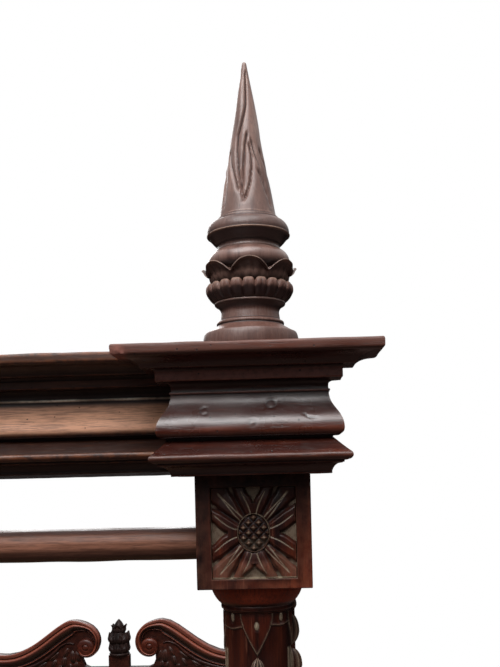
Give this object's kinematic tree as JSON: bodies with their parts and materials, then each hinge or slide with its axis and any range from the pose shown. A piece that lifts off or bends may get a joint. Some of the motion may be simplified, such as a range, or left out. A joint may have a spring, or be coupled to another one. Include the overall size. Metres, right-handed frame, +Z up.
{
  "type": "four-poster bed",
  "caption": "Four-poster bed with a moulded breakfront cornice, tall spike finials on lotus bulbs, curtain rods, carved post blocks and a swan-neck headboard.",
  "frame": {"origin": "on the floor under the centre of the bed's bounding box", "axes": "+X to the right of someone standing at the foot, +Y from the foot to the head, +Z up"},
  "size_m": [1.568, 2.478, 2.474],
  "materials": {
    "carved_wood": "dark red-brown hardwood, polished on the high parts and near black in the carving",
    "weathered_wood": "greyish red-brown hardwood, dry and weathered",
    "worn_wood": "brown hardwood, rubbed through to tan on the ogee",
    "plain_wood": "dark brown hardwood, satin",
    "slat_wood": "bare sawn wood",
    "brass": "aged, satin",
    "iron": "black wrought iron, dull"
  },
  "bodies": {
    "bedstead": {"post_foot_left": "carved_wood", "cornice_corner_foot_left": "carved_wood", "bed_bolt_foot_left": "iron", "bolt_nut_foot_left": "iron", "cover_screw_foot_left": "brass", "post_foot_right": "carved_wood", "cornice_corner_foot_right": "carved_wood", "bed_bolt_foot_right": "iron", "bolt_nut_foot_right": "iron", "cover_screw_foot_right": "brass", "post_head_left": "carved_wood", "cornice_corner_head_left": "carved_wood", "bed_bolt_head_left": "iron", "bolt_nut_head_left": "iron", "cover_screw_head_left": "brass", "post_head_right": "carved_wood", "cornice_corner_head_right": "carved_wood", "bed_bolt_head_right": "iron", "bolt_nut_head_right": "iron", "cover_screw_head_right": "brass", "cornice_rail_foot": "worn_wood", "cornice_rail_right": "worn_wood", "cornice_rail_head": "worn_wood", "cornice_rail_left": "worn_wood", "curtain_rod_foot": "plain_wood", "curtain_rod_left": "plain_wood", "curtain_rod_right": "plain_wood", "foot_rail": "plain_wood", "head_rail": "plain_wood", "side_rail_left": "plain_wood", "side_rail_right": "plain_wood", "slat_ledger_left": "slat_wood", "slat_ledger_right": "slat_wood", "slat_1": "slat_wood", "slat_2": "slat_wood", "slat_3": "slat_wood", "slat_4": "slat_wood", "slat_5": "slat_wood", "slat_6": "slat_wood", "slat_7": "slat_wood", "slat_8": "slat_wood", "slat_9": "slat_wood", "headboard_stile_left": "plain_wood", "headboard_stile_right": "plain_wood", "headboard_bottom_rail": "plain_wood", "headboard_top_rail": "plain_wood", "headboard_panel": "plain_wood", "crest_board": "carved_wood", "crest_scroll_left": "carved_wood", "crest_scroll_right": "carved_wood", "crest_finial": "carved_wood"},
    "finial_foot_left": {"finial_foot_left": "weathered_wood"},
    "bolt_cover_foot_left": {"bolt_cover_foot_left": "brass"},
    "finial_foot_right": {"finial_foot_right": "weathered_wood"},
    "bolt_cover_foot_right": {"bolt_cover_foot_right": "brass"},
    "finial_head_left": {"finial_head_left": "weathered_wood"},
    "bolt_cover_head_left": {"bolt_cover_head_left": "brass"},
    "finial_head_right": {"finial_head_right": "weathered_wood"},
    "bolt_cover_head_right": {"bolt_cover_head_right": "brass"}
  },
  "joints": [
    {"name": "finial_lift_foot_left", "type": "slide", "parent": "bedstead", "child": "finial_foot_left", "axis": [0, 0, 1], "range_m": [0, 0.065]},
    {"name": "finial_lift_foot_right", "type": "slide", "parent": "bedstead", "child": "finial_foot_right", "axis": [0, 0, 1], "range_m": [0, 0.065]},
    {"name": "finial_lift_head_left", "type": "slide", "parent": "bedstead", "child": "finial_head_left", "axis": [0, 0, 1], "range_m": [0, 0.065]},
    {"name": "finial_lift_head_right", "type": "slide", "parent": "bedstead", "child": "finial_head_right", "axis": [0, 0, 1], "range_m": [0, 0.065]},
    {"name": "cover_swing_foot_left", "type": "hinge", "parent": "bedstead", "child": "bolt_cover_foot_left", "pos_m": [-0.6265, -1.1515, 0.456], "axis": [0, -1, 0], "continuous": true},
    {"name": "cover_swing_foot_right", "type": "hinge", "parent": "bedstead", "child": "bolt_cover_foot_right", "pos_m": [0.6265, -1.1515, 0.456], "axis": [0, -1, 0], "continuous": true},
    {"name": "cover_swing_head_left", "type": "hinge", "parent": "bedstead", "child": "bolt_cover_head_left", "pos_m": [-0.6265, 1.1515, 0.456], "axis": [0, 1, 0], "continuous": true},
    {"name": "cover_swing_head_right", "type": "hinge", "parent": "bedstead", "child": "bolt_cover_head_right", "pos_m": [0.6265, 1.1515, 0.456], "axis": [0, 1, 0], "continuous": true}
  ]
}
